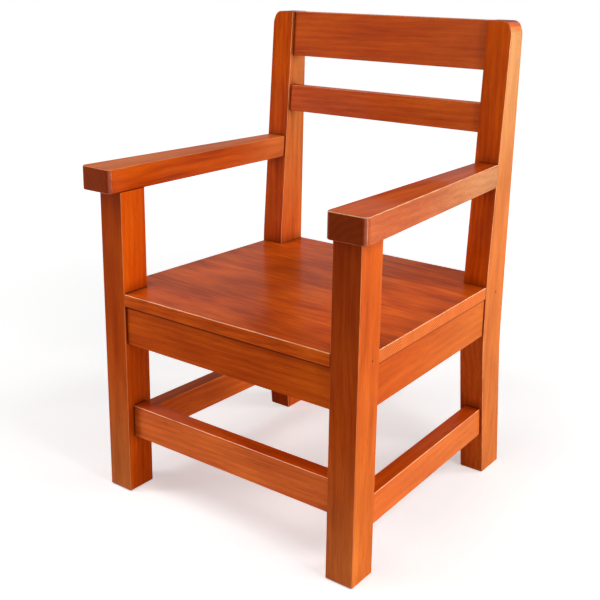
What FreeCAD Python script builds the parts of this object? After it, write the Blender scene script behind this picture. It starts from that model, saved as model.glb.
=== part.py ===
import FreeCAD, Part
import os
import re
import Sketcher

# Wooden nursing chair, in millimetres: +Z up, front towards -Y.
# Depths count back from the front face of the front legs. Every piece is then shifted
# by front_face, which brings the origin to the floor under the middle of the chair.

# How near an edge must lie to be picked, how straight, and the least volume a cut must take away
NEAR = 0.01
STRAIGHT = 0.98
LEAST_CUT = 1

PAD = "PartDesign::Pad"
POCKET = "PartDesign::Pocket"
FILLET = "PartDesign::Fillet"
CHAMFER = "PartDesign::Chamfer"
SIDES = {"left": -1, "right": 1}

SIZES = {
    # Overall frame
    "front_width": 550,
    "rear_width": 526,
    "back_height": 866,
    "seat_height": 389,
    "arm_height": 616,
    "post_front": 443,
    # Front legs
    "leg_width": 52,
    "leg_depth": 58,
    "leg_tenon_width": 24,
    "leg_tenon_depth": 30,
    "leg_tenon_height": 24,
    # Rear posts: straight through the seat, kicked back below it and raked above it, in degrees
    "post_width": 48,
    "post_seat_depth": 71,
    "post_foot_depth": 66,
    "post_top_depth": 45,
    "kick_angle": 7,
    "rake_angle": 4,
    "bend_radius": 480,
    "post_clip_width": 7,
    "post_clip_drop": 20,
    "post_clip_round": 15,
    # Seat
    "seat_thick": 23,
    "seat_inset": 1.5,
    "seat_back_inset": 0.5,
    "seat_board_count": 4,
    "seat_edge": 2,
    "notch_gap": 0.4,
    # Aprons
    "apron_height": 72,
    "apron_thick": 22,
    "front_apron_setback": 5,
    "side_apron_setback": 3.5,
    "rear_apron_setback": 5,
    "apron_tenon_thick": 9,
    "side_apron_tenon": 28,
    "rear_apron_tenon": 28,
    # Stretchers
    "front_stretcher_bottom": 109,
    "front_stretcher_height": 61,
    "front_stretcher_setback": 15,
    "front_stretcher_thick": 30,
    "side_stretcher_bottom": 85,
    "side_stretcher_height": 55,
    "side_stretcher_setback": 5,
    "side_stretcher_thick": 31,
    "stretcher_tenon_thick": 12,
    "side_stretcher_tenon": 22,
    # Arms
    "arm_thick": 43,
    "arm_front_overhang": 23,
    "arm_outer_overhang": 22.5,
    "arm_front_width": 73.5,
    "arm_rear_width": 43,
    "arm_rear_inset": 1,
    "arm_corner": 10,
    "arm_edge": 2.5,
    "arm_tenon_width": 18,
    "arm_tenon_height": 22,
    "arm_tenon_length": 24,
    # Back boards
    "crest_height": 87,
    "crest_thick": 22,
    "crest_setback": 7,
    "hand_gap": 59,
    "slat_height": 52,
    "slat_thick": 20,
    "slat_setback": 5.5,
    "back_tenon_thick": 9,
    "back_tenon_length": 24,
    # Joint fits and eased edges
    "tenon_shoulder": 8,
    "tenon_wall": 5,
    "crest_haunch": 24,
    "fit_gap": 0.15,
    "glue_room": 1,
    "edge_round": 1.6,
    "foot_bevel": 2.5,
    # Corner blocks, seat screws and seat nails
    "block_reach": 70,
    "block_height": 40,
    "screw_inset": 9,
    "screw_shank": 4.5,
    "screw_head": 9,
    "screw_head_height": 3,
    "screw_cover": 8,
    "nail_shank": 3.2,
    "nail_length": 80,
    "nail_set": 0.4,
    "front_nail_setback": 38,
    "front_nail_rise": 11.5,
    "rear_nail_setback": 38,
    "rear_nail_rise": 6,
    "fastener_gap": 0.1,
}

DERIVED = {
    "front_half": "front_width / 2",
    "rear_half": "rear_width / 2",
    "leg_inner": "front_half - leg_width",
    "post_inner": "rear_half - post_width",
    "seat_under": "seat_height - seat_thick",
    "apron_bottom": "seat_under - apron_height",
    "kick_slope": "tan(kick_angle * 1 deg)",
    "rake_slope": "tan(rake_angle * 1 deg)",
    "lower_bend": "apron_bottom - bend_radius * tan(kick_angle / 2 * 1 deg)",
    "upper_bend": "seat_height + bend_radius * tan(rake_angle / 2 * 1 deg)",
    "post_back": "post_front + post_seat_depth",
    "foot_front": "post_front + kick_slope * lower_bend",
    "foot_back": "foot_front + post_foot_depth",
    "top_front": "post_front + rake_slope * (back_height - upper_bend)",
    "top_back": "top_front + post_top_depth",
    "front_face": "(arm_front_overhang - foot_back) / 2",
    "side_slope": "(front_half - rear_half) / (post_front - leg_depth)",
    "seat_back": "post_back - seat_back_inset",
    "front_apron_back": "front_apron_setback + apron_thick",
    "rear_apron_front": "post_back - rear_apron_setback - apron_thick",
    "side_apron_middle": "side_apron_setback + apron_thick / 2",
    "front_apron_tenon": "leg_width - side_apron_middle - apron_tenon_thick / 2 - tenon_wall",
    "front_stretcher_top": "front_stretcher_bottom + front_stretcher_height",
    "side_stretcher_top": "side_stretcher_bottom + side_stretcher_height",
    "side_stretcher_middle": "side_stretcher_setback + side_stretcher_thick / 2",
    "front_stretcher_tenon": "leg_width - side_stretcher_middle - stretcher_tenon_thick / 2 - tenon_wall",
    "arm_under": "arm_height - arm_thick",
    "arm_middle": "arm_height - arm_thick / 2",
    "arm_outer_front": "front_half + arm_outer_overhang",
    "arm_outer_rear": "rear_half - arm_rear_inset",
    "arm_tenon_middle": "arm_outer_rear - arm_rear_width / 2",
    "crest_bottom": "back_height - crest_height",
    "slat_top": "crest_bottom - hand_gap",
    "slat_bottom": "slat_top - slat_height",
    "block_bottom": "seat_under - block_height",
    "screw_bite": "seat_thick - screw_cover",
}

doc = FreeCAD.newDocument("nursing_chair")
sheet = doc.addObject("Spreadsheet::Sheet", "sizes")
nodes = []


def fill_sheet():
    cells = {name: str(number) for name, number in SIZES.items()}
    cells.update({name: "=" + formula for name, formula in DERIVED.items()})
    for row, (name, text) in enumerate(cells.items(), 1):
        sheet.set(f"A{row}", name)
        sheet.set(f"B{row}", text)
        sheet.setAlias(f"B{row}", name)
    doc.recompute()


def value(formula):
    return float(sheet.evalExpression(formula))


def bind(thing, prop, formula):
    thing.setExpression(prop, re.sub(r"[a-z]\w*", r"sizes.\g<0>", formula))


def new_body(label):
    body = doc.addObject("PartDesign::Body", label)
    body.Label = label
    bind(body, "Placement.Base.y", "front_face")
    nodes.append(body)
    return body


def new_sketch(body, name, plane, offset):
    sketch = body.newObject("Sketcher::SketchObject", name + "_sketch")
    planes = {item.Role: item for item in body.Origin.OriginFeatures}
    sketch.AttachmentSupport = [(planes[plane + "_Plane"], "")]
    sketch.MapMode = "FlatFace"
    bind(sketch, "AttachmentOffset.Base.z", offset)
    return sketch


def hold_point(sketch, geometry, place, point):
    for kind, formula in zip(("DistanceX", "DistanceY"), point):
        constraint = Sketcher.Constraint(kind, -1, 1, geometry, place, value(formula))
        bind(sketch, f"Constraints[{sketch.addConstraint(constraint)}]", formula)


def extrude(body, name, kind, sketch, low, high):
    feature = body.newObject(kind, name)
    feature.Profile = sketch
    feature.Reversed = kind == POCKET
    bind(feature, "Length", f"{high} - ({low})")
    return feature


# A straight-sided solid or cut: corners in a main plane, low to high along its normal
def prism(body, name, kind, plane, corners, low, high):
    sketch = new_sketch(body, name, plane, low)
    points = [FreeCAD.Vector(value(u), value(v), 0) for u, v in corners]
    following = points[1:] + points[:1]
    for start, end in zip(points, following):
        sketch.addGeometry(Part.LineSegment(start, end))
    for line in range(len(points)):
        joined = Sketcher.Constraint("Coincident", line, 2, (line + 1) % len(points), 1)
        sketch.addConstraint(joined)
    for line, corner in enumerate(corners):
        hold_point(sketch, line, 1, corner)
    return extrude(body, name, kind, sketch, low, high)


# Rounds corners of an outline; the sharp corners stay in place as points on their two lines
def bend_corners(sketch, corners, radius):
    doc.recompute()
    for corner in corners:
        arc = sketch.GeometryCount
        ends = (sketch.getPoint(corner - 1, 1), sketch.getPoint(corner, 2))
        sketch.fillet(corner - 1, corner, *ends, value(radius), True, True)
        size = sketch.addConstraint(Sketcher.Constraint("Radius", arc, value(radius)))
        bind(sketch, f"Constraints[{size}]", radius)


# A round hole, its centre in the XY or YZ plane
def bore(body, name, plane, centre, radius, low, high):
    sketch = new_sketch(body, name, plane, low)
    middle = FreeCAD.Vector(value(centre[0]), value(centre[1]), 0)
    sketch.addGeometry(Part.Circle(middle, FreeCAD.Vector(0, 0, 1), value(radius)))
    hold_point(sketch, 0, 3, centre)
    size = sketch.addConstraint(Sketcher.Constraint("Radius", 0, value(radius)))
    bind(sketch, f"Constraints[{size}]", radius)
    return extrude(body, name, POCKET, sketch, low, high)


# Rounds or bevels the edges of a feature that the test picks by their place
def ease(body, name, base, size, wanted, kind=FILLET):
    doc.recompute()
    edges = [f"Edge{n}" for n, edge in enumerate(base.Shape.Edges, 1) if wanted(edge)]
    feature = body.newObject(kind, name)
    feature.Base = (base, edges)
    bind(feature, "Radius" if kind == FILLET else "Size", size)
    return feature


def runs_along(edge, axis):
    ends = edge.Vertexes[-1].Point - edge.Vertexes[0].Point
    straight = edge.Curve.TypeId == "Part::GeomLine"
    return straight and abs(ends.dot(axis)) > STRAIGHT * ends.Length


def lies_at(edge, axis, distance):
    return all(abs(vertex.Point.dot(axis) - distance) < NEAR for vertex in edge.Vertexes)


def along_x(edge):
    return runs_along(edge, FreeCAD.Vector(1, 0, 0))


def along_y(edge):
    return runs_along(edge, FreeCAD.Vector(0, 1, 0))


def along_z(edge):
    return runs_along(edge, FreeCAD.Vector(0, 0, 1))


def lies_across(edge, side, formula):
    return lies_at(edge, FreeCAD.Vector(side, 0, 0), value(formula))


def at_depth(edge, formula):
    return lies_at(edge, FreeCAD.Vector(0, 1, 0), value(formula))


def at_height(edge, formula):
    return lies_at(edge, FreeCAD.Vector(0, 0, 1), value(formula))


def rectangle(x_one, x_two, y_one, y_two):
    return [(x_one, y_one), (x_two, y_one), (x_two, y_two), (x_one, y_two)]


# Low and high x of something that lies between an inner and an outer distance
def x_span(side, inner, outer):
    if side > 0:
        return inner, outer
    return f"-({outer})", f"-({inner})"


# Sideways distance of the chair's outer line, less an inset, at a depth between leg and post
def side_line(inset, depth):
    return f"(front_half - ({inset}) - side_slope * ({depth} - leg_depth))"


# Depth of the posts' front face above the seat, and near the floor
def raked_front(height):
    return f"(post_front + rake_slope * ({height} - upper_bend))"


def kicked_front(height):
    return f"(post_front + kick_slope * (lower_bend - ({height})))"


# Outlines of rails and tenons; fit is the clearance that a mortise adds all round
def cross_strip(side, start, length, middle, thick, fit):
    half = f"({thick} / 2 + {fit})"
    far = f"{side} * ({start} + {length})"
    return rectangle(f"{side} * {start}", far, f"{middle} - {half}", f"{middle} + {half}")


def lengthwise_strip(side, inset, near, far, thick, fit):
    half = f"({thick} / 2 + {fit})"
    ends = [(near, 1), (near, -1), (far, -1), (far, 1)]
    return [(f"{side} * ({side_line(inset, y)} + {sign} * {half})", y) for y, sign in ends]


def raked_strip(setback, board, thick, low, high, fit):
    front = f"{setback} + ({board} - {thick}) / 2 - {fit}"
    back = f"{setback} + ({board} + {thick}) / 2 + {fit}"
    corners = [(low, front), (high, front), (high, back), (low, back)]
    return [(f"{raked_front(z)} + {offset}", z) for z, offset in corners]


# Where the tenons lie: middle lines, heights and ends
front_apron_middle = "(front_apron_setback + apron_thick / 2)"
rear_apron_middle = "(rear_apron_front + apron_thick / 2)"
front_stretcher_middle = "(front_stretcher_setback + front_stretcher_thick / 2)"
apron_span = ("apron_bottom + tenon_shoulder", "seat_under - tenon_shoulder")
front_stretcher_span = (
    "front_stretcher_bottom + tenon_shoulder",
    "front_stretcher_top - tenon_shoulder",
)
side_stretcher_span = (
    "side_stretcher_bottom + tenon_shoulder",
    "side_stretcher_top - tenon_shoulder",
)
crest_span = ("crest_bottom + tenon_shoulder", "back_height - crest_haunch")
slat_span = ("slat_bottom + tenon_shoulder", "slat_top - tenon_shoulder")
arm_span = ("arm_middle - arm_tenon_height / 2", "arm_middle + arm_tenon_height / 2")
stretcher_low_end = kicked_front("side_stretcher_bottom")
stretcher_high_end = kicked_front("side_stretcher_top")
arm_low_end = raked_front("arm_under")
arm_high_end = raked_front("arm_height")


# Each joint is drawn once, as plane, outline, low and high: a tenon with no fit, a mortise with it
TENON = ("0", "0")
MORTISE = ("fit_gap", "glue_room")


def grown(span, fit):
    return f"{span[0]} - {fit}", f"{span[1]} + {fit}"


def front_apron_joint(side, fit, room):
    length = f"front_apron_tenon + {room}"
    plan = cross_strip(side, "leg_inner", length, front_apron_middle, "apron_tenon_thick", fit)
    return "XY", plan, *grown(apron_span, fit)


def rear_apron_joint(side, fit, room):
    length = f"rear_apron_tenon + {room}"
    plan = cross_strip(side, "post_inner", length, rear_apron_middle, "apron_tenon_thick", fit)
    return "XY", plan, *grown(apron_span, fit)


def front_stretcher_joint(side, fit, room):
    length = f"front_stretcher_tenon + {room}"
    plan = cross_strip(side, "leg_inner", length, front_stretcher_middle, "stretcher_tenon_thick", fit)
    return "XY", plan, *grown(front_stretcher_span, fit)


def side_apron_leg_joint(side, fit, room):
    far = f"leg_depth - side_apron_tenon - {room}"
    plan = lengthwise_strip(side, "side_apron_middle", "leg_depth", far, "apron_tenon_thick", fit)
    return "XY", plan, *grown(apron_span, fit)


def side_apron_post_joint(side, fit, room):
    far = f"post_front + side_apron_tenon + {room}"
    plan = lengthwise_strip(side, "side_apron_middle", "post_front", far, "apron_tenon_thick", fit)
    return "XY", plan, *grown(apron_span, fit)


def side_stretcher_leg_joint(side, fit, room):
    far = f"leg_depth - side_stretcher_tenon - {room}"
    plan = lengthwise_strip(
        side, "side_stretcher_middle", "leg_depth", far, "stretcher_tenon_thick", fit
    )
    return "XY", plan, *grown(side_stretcher_span, fit)


def side_stretcher_post_joint(side, fit, room):
    near = f"{stretcher_high_end} - side_stretcher_tenon"
    far = f"{stretcher_low_end} + side_stretcher_tenon + {room}"
    plan = lengthwise_strip(side, "side_stretcher_middle", near, far, "stretcher_tenon_thick", fit)
    return "XY", plan, *grown(side_stretcher_span, fit)


def crest_joint(side, fit, room):
    outline = raked_strip("crest_setback", "crest_thick", "back_tenon_thick", *grown(crest_span, fit), fit)
    return "YZ", outline, *x_span(side, "post_inner", f"post_inner + back_tenon_length + {room}")


def slat_joint(side, fit, room):
    outline = raked_strip("slat_setback", "slat_thick", "back_tenon_thick", *grown(slat_span, fit), fit)
    return "YZ", outline, *x_span(side, "post_inner", f"post_inner + back_tenon_length + {room}")


def arm_post_joint(side, fit, room):
    half = f"(arm_tenon_width / 2 + {fit})"
    near = f"{arm_low_end} - arm_tenon_length"
    far = f"{arm_high_end} + arm_tenon_length + {room}"
    x_inner = f"{side} * (arm_tenon_middle - {half})"
    x_outer = f"{side} * (arm_tenon_middle + {half})"
    return "XY", rectangle(x_inner, x_outer, near, far), *grown(arm_span, fit)


def leg_arm_joint(side, fit, room):
    half_width = f"(leg_tenon_width / 2 + {fit})"
    half_depth = f"(leg_tenon_depth / 2 + {fit})"
    x_inner = f"{side} * (front_half - leg_width / 2 - {half_width})"
    x_outer = f"{side} * (front_half - leg_width / 2 + {half_width})"
    y_front = f"leg_depth / 2 - {half_depth}"
    y_back = f"leg_depth / 2 + {half_depth}"
    top = f"arm_under + leg_tenon_height + {room}"
    return "XY", rectangle(x_inner, x_outer, y_front, y_back), "arm_under", top


nail_radius = "nail_shank / 2 + fastener_gap"
screw_radius = "screw_shank / 2 + fastener_gap"


# A seat nail enters from the outer face: that face, the wall it crosses, its depth and height
def nail_place(end):
    if end == "front":
        return "front_half", "leg_inner", "front_nail_setback", "seat_under + front_nail_rise"
    return "rear_half", "post_inner", "post_front + rear_nail_setback", "seat_under + rear_nail_rise"


# A seat screw stands in a corner block: its distance from the middle and its depth
def screw_place(end):
    if end == "front":
        return "leg_inner - screw_inset", "leg_depth + screw_inset"
    return "post_inner - screw_inset", "post_front - screw_inset"


def nail_hole(body, end, side):
    face, wall, depth, height = nail_place(end)
    bore(body, "nail_hole", "YZ", (depth, height), nail_radius, *x_span(side, wall, face))


def at_floor(edge):
    return at_height(edge, "0")


def front_leg(name, side):
    body = new_body(name)
    plan = rectangle(f"{side} * leg_inner", f"{side} * front_half", "0", "leg_depth")
    block = prism(body, "block", PAD, "XY", plan, "0", "arm_under")
    footed = ease(body, "foot_edge", block, "foot_bevel", at_floor, CHAMFER)
    ease(body, "eased_edges", footed, "edge_round", along_z)
    prism(body, "arm_tenon", PAD, *leg_arm_joint(side, *TENON))
    prism(body, "front_apron_mortise", POCKET, *front_apron_joint(side, *MORTISE))
    prism(body, "side_apron_mortise", POCKET, *side_apron_leg_joint(side, *MORTISE))
    prism(body, "front_stretcher_mortise", POCKET, *front_stretcher_joint(side, *MORTISE))
    prism(body, "side_stretcher_mortise", POCKET, *side_stretcher_leg_joint(side, *MORTISE))
    nail_hole(body, "front", side)


# A board sawn to a bent profile: straight through the seat, kicked back below, raked above
def rear_post(name, side):
    body = new_body(name)
    profile = [
        ("foot_front", "0"),
        ("post_front", "lower_bend"),
        ("post_front", "upper_bend"),
        ("top_front", "back_height"),
        ("top_back", "back_height"),
        ("post_back", "upper_bend"),
        ("post_back", "lower_bend"),
        ("foot_back", "0"),
    ]
    bends = (1, 2, 5, 6)
    board = prism(body, "board", PAD, "YZ", profile, *x_span(side, "post_inner", "rear_half"))
    bend_corners(board.Profile[0], bends, "bend_radius")
    clipped_corner = [
        (f"{side} * rear_half", "back_height"),
        (f"{side} * (rear_half - post_clip_width)", "back_height"),
        (f"{side} * rear_half", "back_height - post_clip_drop"),
    ]

    def at_clip(edge):
        on_top = at_height(edge, "back_height") and lies_across(edge, side, "rear_half - post_clip_width")
        return along_y(edge) and (on_top or at_height(edge, "back_height - post_clip_drop"))

    # The edges of the front and back faces, without those that cross them or belong to the foot
    def at_arris(edge):
        crossing = along_x(edge) and not at_height(edge, "back_height")
        return not (crossing or along_y(edge) or edge.BoundBox.ZMax < value("2 * foot_bevel"))

    footed = ease(body, "foot_edge", board, "foot_bevel", at_floor, CHAMFER)
    clipped = prism(body, "top_clip", POCKET, "XZ", clipped_corner, "-top_back", "-post_front")
    rounded = ease(body, "top_corner", clipped, "post_clip_round", at_clip)
    ease(body, "eased_edges", rounded, "edge_round", at_arris)
    prism(body, "side_apron_mortise", POCKET, *side_apron_post_joint(side, *MORTISE))
    prism(body, "side_stretcher_mortise", POCKET, *side_stretcher_post_joint(side, *MORTISE))
    prism(body, "rear_apron_mortise", POCKET, *rear_apron_joint(side, *MORTISE))
    prism(body, "arm_mortise", POCKET, *arm_post_joint(side, *MORTISE))
    prism(body, "slat_mortise", POCKET, *slat_joint(side, *MORTISE))
    prism(body, "crest_mortise", POCKET, *crest_joint(side, *MORTISE))
    nail_hole(body, "rear", side)


# A rail that runs straight across the chair, with a tenon at each end
def cross_rail(name, half, front, back, low, high, eased_edges, joint):
    body = new_body(name)
    board = prism(body, "board", PAD, "XY", rectangle(f"-{half}", half, front, back), low, high)
    ease(body, "eased_edges", board, "edge_round", eased_edges)
    for side_name, side in SIDES.items():
        prism(body, "tenon_" + side_name, PAD, *joint(side, *TENON))


def cross_rails():
    def lower_edge(edge):
        return along_x(edge) and at_height(edge, "apron_bottom")

    height = ("apron_bottom", "seat_under")
    depth = ("front_apron_setback", "front_apron_back")
    cross_rail("front_apron", "leg_inner", *depth, *height, lower_edge, front_apron_joint)
    depth = ("rear_apron_front", "rear_apron_front + apron_thick")
    cross_rail("rear_apron", "post_inner", *depth, *height, lower_edge, rear_apron_joint)
    height = ("front_stretcher_bottom", "front_stretcher_top")
    depth = ("front_stretcher_setback", "front_stretcher_setback + front_stretcher_thick")
    cross_rail("front_stretcher", "leg_inner", *depth, *height, along_x, front_stretcher_joint)


def side_apron(name, side):
    body = new_body(name)
    plan = lengthwise_strip(side, "side_apron_middle", "leg_depth", "post_front", "apron_thick", "0")
    board = prism(body, "board", PAD, "XY", plan, "apron_bottom", "seat_under")

    def lower_edge(edge):
        return along_y(edge) and at_height(edge, "apron_bottom")

    ease(body, "eased_edges", board, "edge_round", lower_edge)
    prism(body, "leg_tenon", PAD, *side_apron_leg_joint(side, *TENON))
    prism(body, "post_tenon", PAD, *side_apron_post_joint(side, *TENON))


def side_stretcher(name, side):
    body = new_body(name)
    ends = ("leg_depth", stretcher_low_end)
    plan = lengthwise_strip(side, "side_stretcher_middle", *ends, "side_stretcher_thick", "0")
    board = prism(body, "board", PAD, "XY", plan, "side_stretcher_bottom", "side_stretcher_top")
    ease(body, "eased_edges", board, "edge_round", along_y)
    # The rear end leans with the kicked face of the post
    wedge = [
        (stretcher_low_end, "side_stretcher_bottom"),
        (stretcher_low_end, "side_stretcher_top"),
        (stretcher_high_end, "side_stretcher_top"),
    ]
    prism(body, "leaning_end", POCKET, "YZ", wedge, *x_span(side, "0", "front_half"))
    prism(body, "leg_tenon", PAD, *side_stretcher_leg_joint(side, *TENON))
    prism(body, "post_tenon", PAD, *side_stretcher_post_joint(side, *TENON))


# A board of the back, leaning with the posts
def back_board(name, setback, thick, low, high, joint):
    body = new_body(name)
    profile = raked_strip(setback, thick, thick, low, high, "0")
    board = prism(body, "board", PAD, "YZ", profile, "-post_inner", "post_inner")
    ease(body, "eased_edges", board, "edge_round", along_x)
    for side_name, side in SIDES.items():
        prism(body, "tenon_" + side_name, PAD, *joint(side, *TENON))


# An arm narrows from its overhanging front to the post, and its rear end leans with the post
def arm(name, side):
    body = new_body(name)
    front = "-arm_front_overhang"
    plan = [
        (f"{side} * (arm_outer_front - arm_front_width)", front),
        (f"{side} * arm_outer_front", front),
        (f"{side} * arm_outer_rear", arm_high_end),
        (f"{side} * (arm_outer_rear - arm_rear_width)", arm_high_end),
    ]
    board = prism(body, "board", PAD, "XY", plan, "arm_under", "arm_height")

    def at_front_corner(edge):
        return along_z(edge) and at_depth(edge, front)

    def at_rim(edge):
        flat = at_height(edge, "arm_under") or at_height(edge, "arm_height")
        return flat and not at_depth(edge, arm_high_end)

    rounded = ease(body, "front_corners", board, "arm_corner", at_front_corner)
    ease(body, "eased_edges", rounded, "arm_edge", at_rim)
    wedge = [(arm_low_end, "arm_under"), (arm_high_end, "arm_under"), (arm_high_end, "arm_height")]
    prism(body, "leaning_end", POCKET, "YZ", wedge, *x_span(side, "0", "arm_outer_front"))
    prism(body, "post_tenon", PAD, *arm_post_joint(side, *TENON))
    prism(body, "leg_mortise", POCKET, *leg_arm_joint(side, *MORTISE))


# The seat is glued up from boards that run from side to side, notched round legs and posts
def seat():
    count = int(value("seat_board_count"))
    for number in range(count):
        front = f"seat_back * {number} / seat_board_count"
        back = f"seat_back * {number + 1} / seat_board_count"
        ends = [front, back]
        inner = {}
        if number == 0:
            inner[front] = "leg_inner - notch_gap"
            ends[0] = "leg_depth + notch_gap"
        if number == count - 1:
            inner[back] = "post_inner - notch_gap"
            ends[1] = "post_front - notch_gap"
        right = [(side_line("seat_inset", depth), depth) for depth in ends]
        if front in inner:
            right = [(inner[front], front), (inner[front], ends[0])] + right
        if back in inner:
            right = right + [(inner[back], ends[1]), (inner[back], back)]
        left = [(f"-({x})", y) for x, y in reversed(right)]
        body = new_body(f"seat_board_{number + 1}")
        board = prism(body, "board", PAD, "XY", right + left, "seat_under", "seat_height")
        ease(body, "eased_edges", board, "seat_edge", at_seat_rim)
        if number == 0:
            seat_fixings(body, "front")
        if number == count - 1:
            seat_fixings(body, "rear")


# The outer edges of the seat, without those at a glue line or a notch
def at_seat_rim(edge):
    middle = edge.CenterOfMass
    outer_line = value(side_line("seat_inset", f"{middle.y}"))
    flat = at_height(edge, "seat_height") or at_height(edge, "seat_under")
    at_end = at_depth(edge, "0") or at_depth(edge, "seat_back")
    at_side = along_y(edge) and abs(abs(middle.x) - outer_line) < NEAR
    return flat and (at_end or at_side)


def seat_fixings(body, end):
    face, wall, depth, height = nail_place(end)
    across, back = screw_place(end)
    nail_end = f"{face} - nail_set - nail_length - glue_room"
    screw_top = "seat_under + screw_bite + glue_room"
    for side_name, side in SIDES.items():
        span = x_span(side, nail_end, wall)
        bore(body, "nail_hole_" + side_name, "YZ", (depth, height), nail_radius, *span)
        centre = (f"{side} * ({across})", back)
        bore(body, "screw_hole_" + side_name, "XY", centre, screw_radius, "seat_under", screw_top)


# A block that fills the corner of the frame beside a leg or post and carries the seat screw
def corner_block(name, end, side):
    body = new_body(name)
    inset = "side_apron_setback + apron_thick"
    if end == "front":
        face, inner, corner = "front_apron_back", "leg_inner", "leg_depth"
        reach = "leg_depth + block_reach"
    else:
        face, inner, corner = "rear_apron_front", "post_inner", "post_front"
        reach = "post_front - block_reach"
    plan = [
        (f"{inner} - block_reach", face),
        (inner, face),
        (inner, corner),
        (side_line(inset, corner), corner),
        (side_line(inset, reach), reach),
    ]
    plan = [(f"{side} * ({x})", y) for x, y in plan]
    prism(body, "block", PAD, "XY", plan, "block_bottom", "seat_under")
    across, back = screw_place(end)
    centre = (f"{side} * ({across})", back)
    bore(body, "screw_hole", "XY", centre, screw_radius, "block_bottom", "seat_under")


# A round bar that starts at a place and runs along an axis
def turned(name, lengths, place, axis):
    bar = doc.addObject("Part::Cylinder", name)
    for prop, formula in lengths.items():
        bind(bar, prop, formula)
    bar.Placement.Rotation = FreeCAD.Rotation(FreeCAD.Vector(0, 0, 1), axis)
    for direction, formula in zip("xyz", place):
        bind(bar, "Placement.Base." + direction, formula)
    return bar


def group(label, pieces):
    bundle = doc.addObject("Part::Compound", label)
    bundle.Label = label
    bundle.Links = pieces
    bind(bundle, "Placement.Base.y", "front_face")
    nodes.append(bundle)


# A pan-headed screw that stands head down under a corner block
def seat_screw(name, end, side):
    up = FreeCAD.Vector(0, 0, 1)
    across, back = screw_place(end)
    place = (f"{side} * ({across})", back)
    head = {"Radius": "screw_head / 2", "Height": "screw_head_height"}
    shank = {"Radius": "screw_shank / 2", "Height": "block_height + screw_bite"}
    under = "block_bottom - screw_head_height"
    screw = doc.addObject("Part::MultiFuse", name)
    screw.Shapes = [
        turned(name + "_head", head, (*place, under), up),
        turned(name + "_shank", shank, (*place, "block_bottom"), up),
    ]
    return screw


# A headless nail, sunk a little below the outer face of a leg or post
def seat_nail(name, end, side):
    inward = FreeCAD.Vector(-side, 0, 0)
    face, _, depth, height = nail_place(end)
    place = (f"{side} * ({face} - nail_set)", depth, height)
    return turned(name, {"Radius": "nail_shank / 2", "Height": "nail_length"}, place, inward)


def build():
    fill_sheet()
    corners = [(end, name, side) for end in ("front", "rear") for name, side in SIDES.items()]
    for name, side in SIDES.items():
        front_leg("front_leg_" + name, side)
        rear_post("rear_post_" + name, side)
        arm("arm_" + name, side)
        side_apron("side_apron_" + name, side)
        side_stretcher("side_stretcher_" + name, side)
    cross_rails()
    back_board("crest_rail", "crest_setback", "crest_thick", "crest_bottom", "back_height", crest_joint)
    back_board("back_slat", "slat_setback", "slat_thick", "slat_bottom", "slat_top", slat_joint)
    seat()
    for end, name, side in corners:
        corner_block(f"corner_block_{end}_{name}", end, side)
    group("seat_screws", [seat_screw(f"screw_{end}_{name}", end, side) for end, name, side in corners])
    group("seat_nails", [seat_nail(f"nail_{end}_{name}", end, side) for end, name, side in corners])
    doc.recompute()


def check():
    faults = [item.Name for item in doc.Objects if {"Invalid", "Error"} & set(item.State)]
    for cut in doc.Objects:
        if cut.TypeId == POCKET and cut.Shape.Volume > cut.BaseFeature.Shape.Volume - LEAST_CUT:
            faults.append(cut.Name + " cuts nothing")
    for node in nodes:
        if node.Shape.isNull() or not node.Shape.isValid() or not node.Shape.Solids:
            faults.append(node.Label)
    if faults:
        raise RuntimeError("failed: " + ", ".join(faults))


def write_parts():
    os.makedirs("parts", exist_ok=True)
    for node in nodes:
        node.Shape.exportStep(f"parts/{node.Label}.step")
        size = node.Shape.BoundBox
        print(f"{node.Label}: {size.XLength:.1f} x {size.YLength:.1f} x {size.ZLength:.1f}")


build()
check()
write_parts()
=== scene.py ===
import math

import bpy
from mathutils import Matrix, Vector

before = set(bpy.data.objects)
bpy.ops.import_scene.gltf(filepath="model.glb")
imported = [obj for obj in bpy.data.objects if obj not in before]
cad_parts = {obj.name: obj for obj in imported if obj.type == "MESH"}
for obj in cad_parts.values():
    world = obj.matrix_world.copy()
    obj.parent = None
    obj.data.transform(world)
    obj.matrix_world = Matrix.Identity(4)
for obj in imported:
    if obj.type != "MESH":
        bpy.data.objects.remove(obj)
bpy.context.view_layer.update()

print("frame loaded:", len(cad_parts), "nodes")


# a socket in an expression: each operator adds a Math node
class Wire:
    def __init__(self, finish, socket):
        self.finish = finish
        self.socket = socket

    def math(self, operation, *values):
        return self.finish.add("ShaderNodeMath", {"operation": operation}, dict(enumerate(values)))

    def __add__(self, other):
        return self.math("ADD", self, other)

    def __radd__(self, other):
        return self.math("ADD", other, self)

    def __sub__(self, other):
        return self.math("SUBTRACT", self, other)

    def __rsub__(self, other):
        return self.math("SUBTRACT", other, self)

    def __mul__(self, other):
        return self.math("MULTIPLY", self, other)

    def __rmul__(self, other):
        return self.math("MULTIPLY", other, self)

    def root(self):
        return self.math("SQRT", self)

    def sine(self):
        return self.math("SINE", self)

    def size(self):
        return self.math("ABSOLUTE", self)

    def larger(self, other):
        return self.math("MAXIMUM", self, other)

    def step(self, low, high, bottom=0.0, top=1.0):  # soft step between two values
        inputs = {"Value": self, "From Min": low, "From Max": high, "To Min": bottom, "To Max": top}
        return self.finish.add("ShaderNodeMapRange", {"interpolation_type": "SMOOTHSTEP"}, inputs)


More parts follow.
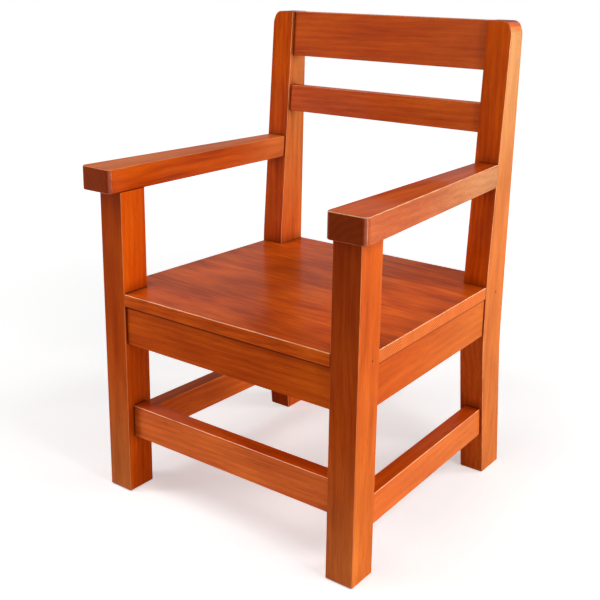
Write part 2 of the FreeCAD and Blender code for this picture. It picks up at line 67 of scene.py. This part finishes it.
# the node tree of a material or of the room
class Finish:
    def __init__(self, owner):
        owner.use_nodes = True
        self.owner = owner
        self.tree = owner.node_tree

    def add(self, kind, settings, inputs, output=0):
        node = self.tree.nodes.new(kind)
        for key, value in settings.items():
            if key == "stops":
                self.setStops(node.color_ramp, value)
            else:
                setattr(node, key, value)
        for key, value in inputs.items():
            self.feed(node.inputs[key], value)
        return Wire(self, node.outputs[output])

    def setStops(self, ramp, stops):
        while len(ramp.elements) < len(stops):
            ramp.elements.new(0.5)
        for element, (position, colour) in zip(ramp.elements, stops):
            element.position = position
            element.color = (*colour, 1)

    def feed(self, socket, value):
        if isinstance(value, Wire):
            self.tree.links.new(value.socket, socket)
        else:
            socket.default_value = value

    def surface(self, values):  # sockets of the main shader
        shader = self.tree.nodes["Principled BSDF"]
        for key, value in values.items():
            self.feed(shader.inputs[key], value)

    def place(self):
        return self.add("ShaderNodeTexCoord", {}, {}, "Object")

    def parts(self, vector):
        node = self.add("ShaderNodeSeparateXYZ", {}, {"Vector": vector}).socket.node
        return [Wire(self, output) for output in node.outputs]

    def joined(self, x, y, z):
        return self.add("ShaderNodeCombineXYZ", {}, {"X": x, "Y": y, "Z": z})

    def stretched(self, vector, scale):
        return self.add("ShaderNodeMapping", {}, {"Vector": vector, "Scale": scale})

    def measure(self, operation, *vectors):  # one number from vectors
        settings = {"operation": operation}
        return self.add("ShaderNodeVectorMath", settings, dict(enumerate(vectors)), "Value")

    def noise(self, vector, detail, roughness=0.5):
        inputs = {"Vector": vector, "Scale": 1.0, "Detail": detail, "Roughness": roughness}
        return self.add("ShaderNodeTexNoise", {}, inputs)

    def hemmedIn(self, reach):  # 0 in the open, about a half in an inner corner
        light = self.add("ShaderNodeAmbientOcclusion", {"samples": 8}, {"Distance": reach}, "AO")
        return 1 - light

    def ray(self, kind):  # 1 for a ray of this kind
        return self.add("ShaderNodeLightPath", {}, {}, f"Is {kind} Ray")

    def bump(self, height, strength, distance):
        inputs = {"Height": height, "Strength": strength, "Distance": distance}
        return self.add("ShaderNodeBump", {}, inputs)

    def blend(self, factor, first, second, mode="MIX"):
        settings = {"data_type": "RGBA", "blend_type": mode}
        return self.add("ShaderNodeMix", settings, {0: factor, 6: first, 7: second}, 2)


def rgba(colour, strength=1.0):
    return (*(strength * channel for channel in colour), 1)


# lacquered red-orange wood, solid through each board so that ends show end grain
stainedWood = {
    "stain": ((0.40, 0.041, 0.0010), (0.60, 0.080, 0.0020), (0.75, 0.124, 0.0040)),  # dark, middle, light
    # these three paler, yellower tints paint sheen and lit faces as well as paler wood
    "honey": ((0.58, 0.18, 0.028), (0.72, 0.27, 0.052), (0.83, 0.35, 0.080)),
    "pale": ((0.58, 0.19, 0.045), (0.72, 0.29, 0.085), (0.83, 0.37, 0.125)),
    "sandAndSheen": ((0.50, 0.22, 0.075), (0.63, 0.32, 0.125), (0.74, 0.41, 0.175)),
    # painted light: this tint makes a face look lit
    "litBright": ((0.55, 0.058, 0.0015), (0.80, 0.110, 0.0030), (0.95, 0.165, 0.0050)),
    # deeper stain, and painted shade under the arms and seat and at the feet
    "deep": ((0.17, 0.014, 0.0004), (0.27, 0.026, 0.0008), (0.36, 0.045, 0.0015)),
    "fleck": (0.17, 0.014, 0.0006),
    "wornAndHighlit": (0.93, 0.34, 0.085),
    # dark colour of the painted shade in corners and joints, and of the rings round sunk nails
    "seam": (0.030, 0.004, 0.0006),
    "edgeGloss": 0.9,
    "ringSpacing": 0.011,
    "endTint": (0.50, 0.44, 0.42),
    "sheen": 0.03,
    "roughness": 0.38,
}

# what a board has unless its own look says otherwise
plainLook = {
    "contrast": 1.0,
    "pace": 1.4,  # larger for shorter streaks
    "endRings": 0.1,
    "patches": [],
    "stains": [],
    "wearAndHighlight": 0.7,
    "wornSide": (-0.35, -0.1),  # lightened edges, wear and painted highlight, stay off edges that look down
    "shineSide": (-0.35, -0.1),
    "cornerReach": 0.03,
    "seamReach": 0.0035,
    "gloss": 0.02,
    "glossRoughness": 0.13,
    "roughSpread": 0.16,
    "bump": (0.10, 0.0004),  # strength and depth
}

# the grain: scales along, across and through a board, detail and roughness
grainNoises = {
    "wander": ((5.0, 17, 17), 2.0, 0.5),
    "broad": ((4.0, 28, 28), 2.0, 0.5),
    "streak": ((4.2, 140, 140), 2.0, 0.5),
    "fine": ((9.0, 500, 500), 2.0, 0.55),
    "fleck": ((42, 900, 900), 1.0, 0.5),
}
grainTilt = (0, 1.2, 0.8)  # degrees between a board and its tree
grainWander = {"width": 0.014, "rings": 6.0}
figureShares = {"broad": 0.50, "streak": 0.18, "fine": 0.26, "rings": 0.06}
reliefShares = {"fine": 0.7, "streak": 0.3}
tintStops = (0.34, 0.5, 0.65)
endLoss = {"figure": 0.7, "gloss": 0.8}  # what end grain lacks

# soft steps: from, to, and the share at each where it isn't 0 and 1
steps = {
    "endGrain": (0.72, 0.97),
    "onFace": (0.9, 0.98),
    "outer": (-0.3, 0.0),
    "fleck": (0.60, 0.76, 0.0, 0.32),
    "wornEdge": (0.05, 0.17),
    "brokenWear": (0.35, 0.6, 0.5, 1.0),
    "shiningEdge": (0.03, 0.2),
    "aboveFloor": (0.0, 0.05),
    "corner": (0.05, 0.5, 0.0, 0.4),
    "seam": (0.12, 0.42, 0.0, 0.85),
    "notBelow": (-0.12, 0.0),
    "onTop": (0.7, 0.95),
}
axisTurns = {"x": (0, 1, 2), "y": (1, 2, 0), "z": (2, 0, 1)}
faces = {"front": (0, -1, 0), "left": (-1, 0, 0), "right": (1, 0, 0), "top": (0, 0, 1)}


def woodFinish(name, ownLook, timber):
    look = {**plainLook, **timber, **ownLook}
    finish = Finish(bpy.data.materials.new(name))
    place = finish.place()
    facing = finish.add("ShaderNodeNewGeometry", {}, {}, "True Normal")
    axes = finish.parts(place)
    normal = finish.parts(facing)
    upward = normal[2]
    sides = [side.size() for side in normal]
    edge = 1 - sides[0].larger(sides[1]).larger(sides[2])
    turns = axisTurns[look["grain"]]
    endGrain = sides[turns[0]].step(*steps["endGrain"])

    def looksTo(face):  # 1 where the surface looks the way of this face
        return finish.measure("DOT_PRODUCT", facing, faces[face])

    def grainNoise(kind, vector, pace=1.0):
        (along, *rest), detail, roughness = grainNoises[kind]
        return finish.noise(finish.stretched(vector, (along * pace, *rest)), detail, roughness)

    # the board's own frame: X runs along the grain, the tree's heart lies at Y = Z = 0
    ordered = finish.joined(*(axes[turn] for turn in turns))
    tilt = tuple(math.radians(angle) for angle in grainTilt)
    boardInputs = {"Vector": ordered, "Location": look["heart"], "Rotation": tilt}
    board = finish.add("ShaderNodeMapping", {}, boardInputs)

    # a slow wander keeps the lines from being ruled
    wander = grainNoise("wander", board)
    along, across, through = finish.parts(board)
    across = across + (wander - 0.5) * grainWander["width"]
    grain = finish.joined(along, across, through)

    radius = (across * across + through * through).root()
    phase = radius * (math.tau / look["ringSpacing"]) + wander * grainWander["rings"]
    rings = phase.sine() * 0.5 + 0.5
    broad = grainNoise("broad", grain, look["pace"])
    streak = grainNoise("streak", grain, look["pace"])
    fine = grainNoise("fine", grain, look["pace"])
    fleck = grainNoise("fleck", grain)

    figure = broad * figureShares["broad"] + streak * figureShares["streak"]
    figure = figure + fine * figureShares["fine"] + rings * figureShares["rings"]
    figure = (figure - 0.5) * look["contrast"] * (1 - endGrain * endLoss["figure"]) + 0.5
    figure = figure + endGrain * (rings - 0.5) * look["endRings"]

    def tinted(tint):
        stops = list(zip(tintStops, look[tint]))
        return finish.add("ShaderNodeValToRGB", {"stops": stops}, {"Fac": figure})

    colour = tinted("stain")
    for tint, face, reach in look["patches"]:  # faces with painted light, sheen and shade, and faces that took less and more stain
        share = axes[turns[0]].step(*reach) * looksTo(face).step(*steps["onFace"])
        colour = finish.blend(share, colour, tinted(tint))
    colour = finish.blend(fleck.step(*steps["fleck"]), colour, rgba(look["fleck"]))

    # ends soak up more stain; eased edges are lightened, partly wear and partly a painted highlight, and
    # catch the light
    colour = finish.blend(endGrain, colour, rgba(look["endTint"]), "MULTIPLY")
    rubbedAndLit = upward.step(*look["wornSide"])
    shining = upward.step(*look["shineSide"])
    # painted highlight: edges are lightened, and glossed, only where they look toward this side
    if "edgesTo" in look:
        outer = looksTo(look["edgesTo"]).step(*steps["outer"])
        rubbedAndLit = rubbedAndLit * outer
        shining = shining * outer
    wornAndHighlit = edge.step(*steps["wornEdge"]) * rubbedAndLit * fine.step(*steps["brokenWear"])
    colour = finish.blend(wornAndHighlit * look["wearAndHighlight"], colour, rgba(look["wornAndHighlit"]))
    if "tone" in look:
        colour = finish.blend(1.0, colour, rgba((1, 1, 1), look["tone"]), "MULTIPLY")

    # painted shade: colour darkened where ambient occlusion finds inner corners and joints
    shadeAndNailColour = rgba(look["seam"])
    corner = finish.hemmedIn(look["cornerReach"]) * axes[2].step(*steps["aboveFloor"])
    colour = finish.blend(corner.step(*steps["corner"]), colour, shadeAndNailColour)
    seam = finish.hemmedIn(look["seamReach"])
    colour = finish.blend(seam.step(*steps["seam"]), colour, shadeAndNailColour)
    # painted shadow: a dark line along the top of an apron, under the seat's edge
    if "seatShadowLine" in look:
        low, high, share = look["seatShadowLine"]
        colour = finish.blend(axes[2].step(low, high, 0.0, share), colour, shadeAndNailColour)
    for point, size, share in look["stains"]:  # rings round sunk nails
        away = finish.measure("DISTANCE", place, point)
        colour = finish.blend(away.step(0.5 * size, size, share, 0.0), colour, shadeAndNailColour)

    gloss = look["gloss"] * (1 - endGrain * endLoss["gloss"]) * upward.step(*steps["notBelow"])
    if "topGloss" in look:
        gloss = upward.step(*steps["onTop"], gloss, axes[0].step(*look["topGloss"]))
    shine = edge.step(*steps["shiningEdge"]) * shining
    relief = fine * reliefShares["fine"] + streak * reliefShares["streak"]
    finish.surface({
        "Base Color": colour,
        "Roughness": look["roughness"] + look["roughSpread"] * fine,
        "Specular IOR Level": look["sheen"],
        "Coat Weight": gloss + shine * (look["edgeGloss"] - gloss),
        "Coat Roughness": look["glossRoughness"],
        "Normal": finish.bump(relief, *look["bump"]),
    })
    return finish.owner


def dress(node, material):
    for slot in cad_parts[node].material_slots:
        slot.material = material


def dressWood(looks, timber=stainedWood):
    for node, look in looks.items():
        dress(node, woodFinish(node, look, timber))


# each patch below is a tint, a face, two places along the grain and the share at each;
# from -1 to 1 it is even; most paint light, sheen and shade onto faces, some are paler and deeper stain

# front legs and bent rear posts, grain upright; their patches paint light on the right faces, floor light
# low on the front legs' fronts, shade on the upper fronts under the arms and at the left rear foot, and
# sheen on the rear posts' right faces
uprights = {
    "front_leg_left": {
        "grain": "z",
        "heart": (0.3, 0.17, 0.09),
        "gloss": 0.0,
        "contrast": 0.8,
        "patches": [
            ("pale", "front", (0.0, 0.3, 0.42, 0.0)),
            ("deep", "front", (0.1, 0.5, 0.0, 0.36)),
            ("litBright", "right", (0.2, 0.45, 0.0, 1.0)),
        ],
    },
    "front_leg_right": {
        "grain": "z",
        "heart": (1.9, -0.08, 0.16),
        "contrast": 0.9,
        "patches": [
            ("pale", "front", (0.0, 0.3, 0.3, 0.0)),
            ("deep", "front", (0.1, 0.5, 0.0, 0.56)),
            ("litBright", "right", (0.0, 0.5, 0.6, 0.1)),
            ("honey", "right", (0.0, 0.5, 0.38, 0.1)),
        ],
        "stains": [((0.275, -0.2212, 0.3775), 0.002, 0.6)],  # point, size, share
    },
    "rear_post_left": {
        "grain": "z",
        "heart": (3.1, 0.31, -0.14),
        "edgeGloss": 0.7,
        "seamReach": 0.001,
        "edgesTo": "right",
        "wornSide": (0.4, 0.15),
        "wearAndHighlight": 1.0,
        "wornAndHighlit": (1.0, 0.50, 0.22),
        "patches": [
            ("pale", "right", (0.3, 0.8, 0.22, 0.5)),
            ("deep", "front", (0.1, 0.55, 0.9, 0.0)),
            ("litBright", "right", (0.1, 0.75, 0.7, 0.0)),
        ],
    },
    "rear_post_right": {
        "grain": "z",
        "heart": (4.7, -0.12, -0.22),
        "gloss": 0.06,
        "edgeGloss": 0.7,
        "seamReach": 0.001,
        "edgesTo": "right",
        "wornSide": (0.4, 0.15),
        "wearAndHighlight": 1.0,
        "wornAndHighlit": (1.0, 0.50, 0.22),
        "patches": [
            ("honey", "right", (-1.0, 1.0, 0.45, 0.45)),
            ("sandAndSheen", "right", (0.4, 0.85, 0.0, 0.7)),
            ("deep", "front", (0.5, 0.85, 0.0, 0.22)),
            ("pale", "front", (0.25, 0.4, 0.09, 0.0)),
        ],
        "stains": [((0.263, 0.2218, 0.372), 0.0028, 0.9)],
    },
}
dressWood(uprights)
print("uprights dressed")

# rails across the chair; the front stretcher's top is darkened with painted shade under the seat
crossRails = {
    "front_apron": {
        "grain": "x",
        "heart": (0.4, 0.32, -0.2),
        "tone": 1.08,
        "seatShadowLine": (0.3615, 0.3635, 0.8),  # two heights and the share of the painted shadow line
    },
    "rear_apron": {"grain": "x", "heart": (1.5, -0.12, -0.25)},
    "front_stretcher": {
        "grain": "x",
        "heart": (2.2, 0.29, 0.06),
        "tone": 1.36,
        "gloss": 0.14,
        "wearAndHighlight": 1.0,
        "wornAndHighlit": (1.0, 0.60, 0.38),
        "patches": [
            ("pale", "front", (-1.0, 1.0, 0.14, 0.14)),
            ("deep", "top", (-0.25, 0.25, 0.30, 0.48)),
            ("pale", "top", (-0.25, 0.1, 0.10, 0.0)),
        ],
    },
    "crest_rail": {
        "grain": "x",
        "heart": (3.3, -0.22, -0.62),
        "tone": 0.95,
        "gloss": 0.24,
        "contrast": 0.85,
        "patches": [("pale", "front", (0.0, 0.2, 0.0, 0.08))],
    },
    "back_slat": {
        "grain": "x",
        "heart": (4.1, -0.17, -0.8),
        "tone": 1.02,
        "gloss": 0.1,
        "patches": [("pale", "front", (-0.15, 0.2, 0.0, 0.12))],
    },
}
dressWood(crossRails)
print("cross rails dressed")

# rails and arms from front to back; the left stretcher's top is darkened with painted shade under the
# seat, and right faces and arm tops get a painted sheen
sideRails = {
    "side_apron_left": {"grain": "y", "heart": (0.2, -0.25, 0.33), "seatShadowLine": (0.3625, 0.3640, 0.4)},
    "side_apron_right": {
        "grain": "y",
        "heart": (1.3, -0.27, -0.2),
        "contrast": 0.7,
        "seatShadowLine": (0.3625, 0.3640, 0.4),
        "wearAndHighlight": 0.9,
        "wornAndHighlit": (1.0, 0.55, 0.28),
        "wornSide": (-1.2, -1.1),
        "patches": [
            ("honey", "right", (-0.2, 0.2, 0.08, 0.36)),
            ("deep", "right", (-0.25, 0.1, 0.12, 0.0)),
        ],
    },
    "side_stretcher_left": {
        "grain": "y",
        "heart": (2.6, -0.02, 0.31),
        "gloss": 0.06,
        "tone": 1.22,
        "wearAndHighlight": 1.0,
        "patches": [
            ("deep", "top", (-1.0, 1.0, 0.85, 0.85)),
            ("pale", "top", (-1.0, 1.0, 0.16, 0.16)),
            ("honey", "right", (-1.0, 1.0, 0.2, 0.2)),
        ],
    },
    "side_stretcher_right": {
        "grain": "y",
        "heart": (3.8, -0.04, -0.19),
        "contrast": 0.6,
        "gloss": 0.12,
        "tone": 1.16,
        "wearAndHighlight": 1.0,
        "wornAndHighlit": (1.0, 0.62, 0.30),
        "wornSide": (-1.2, -1.1),
        "patches": [("honey", "right", (-0.2, 0.2, 0.2, 0.34))],
    },
    "arm_left": {
        "grain": "y",
        "heart": (4.4, -0.51, 0.35),
        "tone": 0.96,
        "gloss": 0.05,
        "glossRoughness": 0.08,
        "endRings": 0.04,
        "wornSide": (0.2, 0.4),
        "shineSide": (-1.2, -1.1),
        "patches": [
            ("pale", "top", (-1.0, 1.0, 0.3, 0.3)),
            ("pale", "right", (0.0, 0.2, 0.0, 0.3)),
            ("litBright", "right", (-0.2, 0.1, 0.7, 0.0)),
        ],
    },
    "arm_right": {
        "grain": "y",
        "heart": (5.2, -0.49, -0.33),
        "tone": 0.88,
        "gloss": 0.17,
        "glossRoughness": 0.08,
        "endRings": 0.04,
        "wearAndHighlight": 1.0,
        "wornAndHighlit": (1.0, 0.62, 0.34),
        "wornSide": (0.2, 0.4),
        "shineSide": (-1.2, -1.1),
        "patches": [
            ("sandAndSheen", "right", (-0.2, 0.2, 0.14, 0.68)),
            ("litBright", "top", (-0.25, 0.0, 0.5, 0.0)),
            ("deep", "top", (0.0, 0.2, 0.0, 0.35)),
        ],
    },
}
dressWood(sideRails)
print("side rails and arms dressed")

# seat boards with polished tops, pale ends and a painted sheen on top
seat = {
    "look": {
        "grain": "x",
        "contrast": 1.25,
        "topGloss": (-0.02, 0.15, 0.20, 0.04),  # polished by use, more to the left
        "glossRoughness": 0.17,
        "pace": 2.2,
        "tone": 1.12,
        "wearAndHighlight": 1.0,
        "wornAndHighlit": (1.0, 0.62, 0.36),
        "endTint": (1, 1, 1),
        "endRings": 0.2,
        "ringSpacing": 0.005,
        "patches": [
            ("honey", "top", (-0.15, 0.15, 0.09, 0.06)),
            ("pale", "front", (-1.0, 1.0, 0.02, 0.02)),
            ("pale", "right", (-1.0, 1.0, 0.3, 0.3)),
            ("pale", "left", (-1.0, 1.0, 0.3, 0.3)),
        ],
    },
    "boards": {  # where the heart lies, and the patch of deeper colour on top, partly stain and partly painted shade
        "seat_board_1": {"heart": (0.6, 0.12, -0.30), "deep": (-0.2, 0.1, 0.10, 0.10)},
        "seat_board_2": {"heart": (1.7, -0.02, -0.28), "deep": (-0.2, 0.1, 0.0, 0.0)},
        "seat_board_3": {"heart": (2.9, -0.13, -0.29), "deep": (-0.2, 0.1, 0.30, 0.06)},
        "seat_board_4": {"heart": (3.6, -0.24, -0.30), "deep": (-0.2, 0.1, 0.05, 0.42)},
    },
}
for node, board in seat["boards"].items():
    patches = seat["look"]["patches"] + [("deep", "top", board["deep"])]
    dressWood({node: {**seat["look"], "heart": board["heart"], "patches": patches}})
print("seat dressed")

# sawn blocks under the seat, left bare
bareWood = {
    "stain": ((0.40, 0.21, 0.085), (0.56, 0.34, 0.16), (0.68, 0.45, 0.24)),  # dark, middle, light
    "fleck": (0.24, 0.11, 0.04),
    "wornAndHighlit": (0.74, 0.53, 0.32),
    # dark colour of the painted shade in corners and joints
    "seam": (0.07, 0.035, 0.015),
    "gloss": 0.0,
    "edgeGloss": 0.0,
    "ringSpacing": 0.006,
    "endTint": (0.72, 0.66, 0.58),
    "sheen": 0.15,
    "roughness": 0.66,
}
cornerBlocks = {
    "corner_block_front_left": {"grain": "x", "heart": (0.5, 0.24, -0.28)},
    "corner_block_front_right": {"grain": "x", "heart": (1.1, 0.27, -0.30)},
    "corner_block_rear_left": {"grain": "x", "heart": (1.8, -0.12, -0.27)},
    "corner_block_rear_right": {"grain": "x", "heart": (2.7, -0.14, -0.29)},
}
dressWood(cornerBlocks, bareWood)
print("corner blocks dressed")

# screws and sunk nails
fasteners = {
    "seat_screws": {"steel": (0.46, 0.45, 0.43), "stain": (0.20, 0.15, 0.11), "roughness": 0.34},
    "seat_nails": {"steel": (0.06, 0.045, 0.035), "stain": (0.02, 0.012, 0.008), "roughness": 0.5},
}
steelGrain = {
    "blotch": ((420, 420, 420), 3.0, 0.6),  # scale, detail, roughness
    "scratch": ((2600, 2600, 260), 2.0, 0.5),
    "tarnish": (0.48, 0.68),
    "metalLoss": 0.5,
    "rough": {"scratch": 0.12, "tarnish": 0.2},
    "bump": (0.2, 0.0001),
}


def steelFinish(name, look):
    finish = Finish(bpy.data.materials.new(name))
    place = finish.place()

    def grainNoise(kind):
        scale, detail, roughness = steelGrain[kind]
        return finish.noise(finish.stretched(place, scale), detail, roughness)

    scratch = grainNoise("scratch")
    tarnish = grainNoise("blotch").step(*steelGrain["tarnish"])
    rough = steelGrain["rough"]
    finish.surface({
        "Base Color": finish.blend(tarnish, rgba(look["steel"]), rgba(look["stain"])),
        "Metallic": 1 - tarnish * steelGrain["metalLoss"],
        "Roughness": look["roughness"] + scratch * rough["scratch"] + tarnish * rough["tarnish"],
        "Normal": finish.bump(scratch, *steelGrain["bump"]),
    })
    return finish.owner


for node, look in fasteners.items():
    dress(node, steelFinish(node, look))
print("screws and nails dressed")


# the photograph's point of view
view = {
    "eye": (1.0199, -1.4113, 0.9501),
    "turn": 0.6392,
    "tip": -0.2676,
    "roll": 0.0136,
    "sensor": 36,
    "lens": 59.5,
    "shift": -0.1,
}


def addCamera():
    turn, tip, roll = view["turn"], view["tip"], view["roll"]
    ahead = Vector((-math.sin(turn) * math.cos(tip), math.cos(turn) * math.cos(tip), math.sin(tip)))
    level = Vector((math.cos(turn), math.sin(turn), 0))
    rise = level.cross(ahead)
    right = level * math.cos(roll) + rise * math.sin(roll)
    up = rise * math.cos(roll) - level * math.sin(roll)
    data = bpy.data.cameras.new("camera")
    data.sensor_width = view["sensor"]
    data.lens = view["lens"]
    data.shift_y = view["shift"]
    camera = bpy.data.objects.new("camera", data)
    turned = Matrix((right, up, -ahead)).transposed().to_4x4()
    camera.matrix_world = Matrix.Translation(view["eye"]) @ turned
    bpy.context.scene.collection.objects.link(camera)
    bpy.context.scene.camera = camera


addCamera()
print("camera placed")


# pale floor: it glows more away from the chair, so that the shadow shows on white
floorLook = {
    "size": 60.0,
    "colour": (0.84, 0.89, 0.98),
    "roughness": 0.9,
    "reach": (0.4, 3.0),
    "glow": (0.48, 1.0),  # near and far
}


def addFloor():
    bpy.ops.object.select_all(action="DESELECT")
    bpy.ops.mesh.primitive_plane_add(size=floorLook["size"])
    floor = bpy.context.object
    floor.name = "floor"
    finish = Finish(bpy.data.materials.new("floor"))
    distance = finish.measure("LENGTH", finish.place())
    seen = finish.ray("Camera").larger(finish.ray("Glossy")).larger(finish.ray("Transmission"))
    glow = distance.step(*floorLook["reach"], *floorLook["glow"]) * seen
    finish.surface({
        "Base Color": rgba(floorLook["colour"]),
        "Roughness": floorLook["roughness"],
        "Specular IOR Level": 0.0,
        "Emission Color": finish.joined(glow, glow, glow),
        "Emission Strength": 1.0,
    })
    floor.data.materials.append(finish.owner)


addFloor()

# soft studio panels
warmth = (1.0, 0.94, 0.85)
lamps = {
    "rightPanel": {
        "place": (2.3, -0.6, 0.56),
        "target": (0, 0, 0.5),
        "size": (0.45, 1.1),
        "power": 12.5,
    },
    "rearRightPanel": {
        "place": (2.0, 1.5, 0.9),
        "target": (0, 0, 0.4),
        "size": (1.0, 1.4),
        "power": 33.5,
    },
    "highPanel": {
        "place": (2.0, -0.1, 2.0),
        "target": (0, 0, 0.45),
        "size": (1.0, 1.0),
        "power": 20.5,
    },
    "topPanel": {
        "place": (-0.1, -0.8, 2.8),
        "target": (0, 0, 0.4),
        "size": (0.9, 0.9),
        "power": 18.0,
    },
    "topLeftPanel": {
        "place": (-1.33, -1.1, 1.85),
        "target": (0, 0, 0.4),
        "size": (0.6, 0.75),
        "power": 12.5,
    },
    "lowLeftPanel": {
        "place": (-1.2, -1.1, 0.45),
        "target": (0, 0, 0.3),
        "size": (0.6, 0.6),
        "power": 3.7,
    },
}


def addLamp(name, look):
    data = bpy.data.lights.new(name, "AREA")
    data.shape = "RECTANGLE"
    data.size, data.size_y = look["size"]
    data.energy = look["power"]
    data.color = warmth
    lamp = bpy.data.objects.new(name, data)
    lamp.location = look["place"]
    aim = Vector(look["target"]) - Vector(look["place"])
    lamp.rotation_euler = aim.to_track_quat("-Z", "Y").to_euler()
    lamp.visible_camera = False
    bpy.context.scene.collection.objects.link(lamp)


for name, look in lamps.items():
    addLamp(name, look)

# white room, mirrored a little darker from above
room = {"horizon": 1.0, "ceiling": 0.6, "band": (0.08, 0.3)}


def addRoom():
    world = bpy.data.worlds.new("room")
    bpy.context.scene.world = world
    finish = Finish(world)
    direction = finish.add("ShaderNodeTexCoord", {}, {}, "Generated")
    rise = finish.parts(direction)[2]
    mirrors = finish.ray("Glossy").larger(finish.ray("Transmission"))
    mirrored = rise.step(*room["band"], room["horizon"], room["ceiling"]) * mirrors
    background = finish.tree.nodes["Background"]
    finish.feed(background.inputs["Color"], (1, 1, 1, 1))
    finish.feed(background.inputs["Strength"], mirrored.larger(finish.ray("Camera") * room["horizon"]))


addRoom()
bpy.context.scene.view_settings.view_transform = "Standard"
print("floor, lamps and room set")
